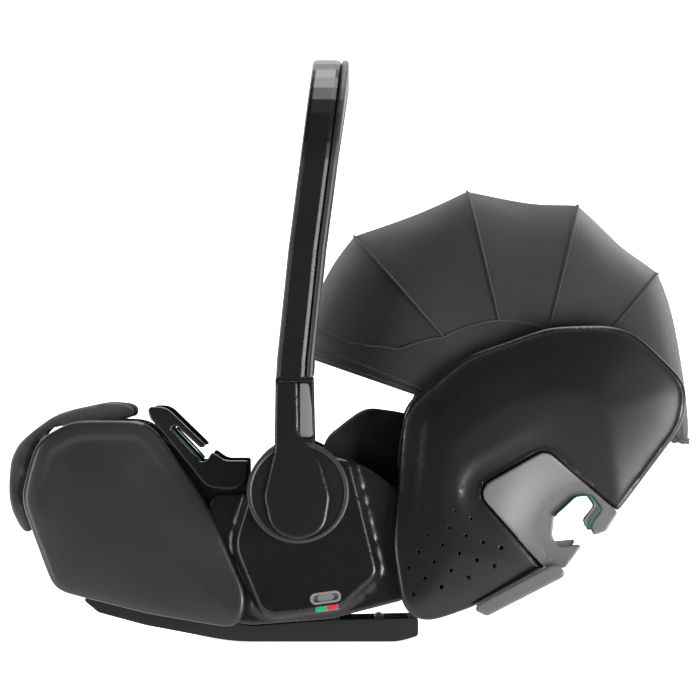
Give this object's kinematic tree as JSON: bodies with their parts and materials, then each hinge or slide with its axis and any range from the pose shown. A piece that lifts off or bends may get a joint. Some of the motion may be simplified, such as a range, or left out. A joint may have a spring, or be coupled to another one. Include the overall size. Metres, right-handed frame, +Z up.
{
  "type": "infant car seat",
  "caption": "Rear-facing infant carrier seat with reclining back, sliding headrest, swinging carry handle, folding canopy and harness.",
  "frame": {"origin": "on the floor, in the middle of the seat's box", "axes": "+X from the feet to the head, +Y across to the right side of the seated infant, +Z up"},
  "size_m": [0.6947, 0.44, 0.597],
  "materials": {
    "shell_plastic": "fine grained black moulding",
    "cover_plastic": "satin charcoal moulding",
    "foot_plastic": "satin mid grey moulding",
    "hook_plastic": "satin light grey moulding",
    "gloss_black": "gloss black moulding",
    "handle_plastic": "satin charcoal moulding",
    "trim_plastic": "satin dark grey moulding",
    "button_grey": "satin grey moulding",
    "button_red": "gloss red moulding",
    "gauge_plastic": "gloss light grey",
    "liner_green": "satin green moulding",
    "steel": "zinc plated",
    "canopy_fabric": "fine woven dark grey cloth",
    "pad_fabric": "knitted black cloth",
    "rim_fabric": "fine woven grey cloth",
    "webbing": "tight woven belt webbing"
  },
  "bodies": {
    "seat_base": {"base_keel": "shell_plastic", "seat_shell": "shell_plastic", "foot_cover_left": "foot_plastic", "foot_cover_right": "foot_plastic", "hub_panel_left": "gloss_black", "hub_panel_right": "gloss_black", "lap_belt_guide_left": "cover_plastic", "lap_belt_guide_right": "cover_plastic", "foot_rim_pad": "rim_fabric", "seat_pad": "pad_fabric", "latch_bar_front": "steel", "latch_bar_rear": "steel", "base_screws": "steel", "hub_lock_rings": "button_grey", "level_gauges": "gauge_plastic", "adjuster_housing": "shell_plastic", "adjuster_strap": "webbing", "crotch_strap": "webbing", "lap_straps": "webbing", "buckle_body": "shell_plastic", "buckle_tongues": "steel", "recline_pins": "steel"},
    "backrest": {"rear_shell": "shell_plastic", "rear_cover_left": "cover_plastic", "rear_cover_right": "cover_plastic", "rear_bumper": "hook_plastic", "belt_hook_left": "hook_plastic", "belt_hook_right": "hook_plastic", "belt_hook_liners": "liner_green", "back_pad": "pad_fabric", "side_bolsters": "pad_fabric", "rim_pads": "rim_fabric", "headrest_guide": "button_grey", "canopy_hubs": "shell_plastic", "shoulder_straps": "webbing", "chest_pads": "pad_fabric", "canopy_panel_rear": "canopy_fabric"},
    "headrest": {"headrest_shell": "shell_plastic", "headrest_pad": "pad_fabric", "harness_yoke": "steel"},
    "handle": {"handle_arch": "handle_plastic", "handle_trim": "trim_plastic", "handle_hub_caps": "handle_plastic"},
    "handle_button_left": {"handle_button_left": "button_grey"},
    "handle_button_right": {"handle_button_right": "button_grey"},
    "canopy_rear": {"canopy_bow_rear": "shell_plastic", "canopy_panel_4": "canopy_fabric"},
    "canopy_4": {"canopy_bow_4": "shell_plastic", "canopy_panel_3": "canopy_fabric"},
    "canopy_3": {"canopy_bow_3": "shell_plastic", "canopy_panel_2": "canopy_fabric"},
    "canopy_2": {"canopy_bow_2": "shell_plastic", "canopy_panel_front": "canopy_fabric"},
    "canopy_front": {"canopy_bow_front": "shell_plastic"},
    "buckle_button": {"buckle_button": "button_red"},
    "adjuster_button": {"adjuster_button": "button_grey"},
    "release_lever": {"release_lever": "button_grey"},
    "level_float_left": {"level_float_left": "button_grey"},
    "level_float_right": {"level_float_right": "button_grey"}
  },
  "joints": [
    {"name": "backrest_recline", "type": "hinge", "parent": "seat_base", "child": "backrest", "pos_m": [0.06, 0, 0.06], "axis": [0, 1, 0], "range_deg": [-18, 0], "deforming": ["shoulder_straps", "chest_pads"]},
    {"name": "handle_swing", "type": "hinge", "parent": "seat_base", "child": "handle", "pos_m": [-0.053, 0, 0.154], "axis": [0, 1, 0], "range_deg": [-105, 35]},
    {"name": "handle_button_left_press", "type": "slide", "parent": "handle", "child": "handle_button_left", "axis": [-1, 0, 0], "range_m": [0, 0.003], "stiffness_N_per_m": 900},
    {"name": "handle_button_right_press", "type": "slide", "parent": "handle", "child": "handle_button_right", "axis": [-1, 0, 0], "range_m": [0, 0.003], "stiffness_N_per_m": 900},
    {"name": "canopy_fold", "type": "hinge", "parent": "backrest", "child": "canopy_rear", "pos_m": [0.178, 0, 0.217], "axis": [0, 1, 0], "range_deg": [0, 24], "deforming": ["canopy_panel_4", "canopy_panel_rear"]},
    {"name": "canopy_fold_4", "type": "hinge", "parent": "canopy_rear", "child": "canopy_4", "pos_m": [0.178, 0, 0.217], "axis": [0, 1, 0], "range_deg": [0, 22.5], "deforming": ["canopy_panel_3", "canopy_panel_4"]},
    {"name": "canopy_fold_3", "type": "hinge", "parent": "canopy_4", "child": "canopy_3", "pos_m": [0.178, 0, 0.217], "axis": [0, 1, 0], "range_deg": [0, 22.5], "deforming": ["canopy_panel_2", "canopy_panel_3"]},
    {"name": "canopy_fold_2", "type": "hinge", "parent": "canopy_3", "child": "canopy_2", "pos_m": [0.178, 0, 0.217], "axis": [0, 1, 0], "range_deg": [0, 23.5], "deforming": ["canopy_panel_front", "canopy_panel_2"]},
    {"name": "canopy_fold_front", "type": "hinge", "parent": "canopy_2", "child": "canopy_front", "pos_m": [0.178, 0, 0.217], "axis": [0, 1, 0], "range_deg": [0, 25.5], "deforming": ["canopy_panel_front"]},
    {"name": "headrest_slide", "type": "slide", "parent": "backrest", "child": "headrest", "axis": [0.8039, 0, 0.5948], "range_m": [0, 0.04], "deforming": ["shoulder_straps", "chest_pads"]},
    {"name": "buckle_press", "type": "slide", "parent": "seat_base", "child": "buckle_button", "axis": [0.342, 0, -0.9397], "range_m": [0, 0.003], "stiffness_N_per_m": 1500},
    {"name": "adjuster_press", "type": "slide", "parent": "seat_base", "child": "adjuster_button", "axis": [-0.3156, 0, -0.9489], "range_m": [0, 0.002], "stiffness_N_per_m": 1500},
    {"name": "release_press", "type": "slide", "parent": "backrest", "child": "release_lever", "axis": [-0.5948, 0, 0.8039], "range_m": [0, 0.001], "stiffness_N_per_m": 1500},
    {"name": "level_left", "type": "slide", "parent": "seat_base", "child": "level_float_left", "axis": [0.9903, 0, 0.1392], "range_m": [-0.004, 0.004]},
    {"name": "level_right", "type": "slide", "parent": "seat_base", "child": "level_float_right", "axis": [0.9903, 0, 0.1392], "range_m": [-0.004, 0.004]}
  ],
  "couplings": [
    {"joint": "canopy_fold_4", "follows": "canopy_fold", "ratio": 0.9375},
    {"joint": "canopy_fold_3", "follows": "canopy_fold", "ratio": 0.9375},
    {"joint": "canopy_fold_2", "follows": "canopy_fold", "ratio": 0.97917},
    {"joint": "canopy_fold_front", "follows": "canopy_fold", "ratio": 1.0625}
  ]
}
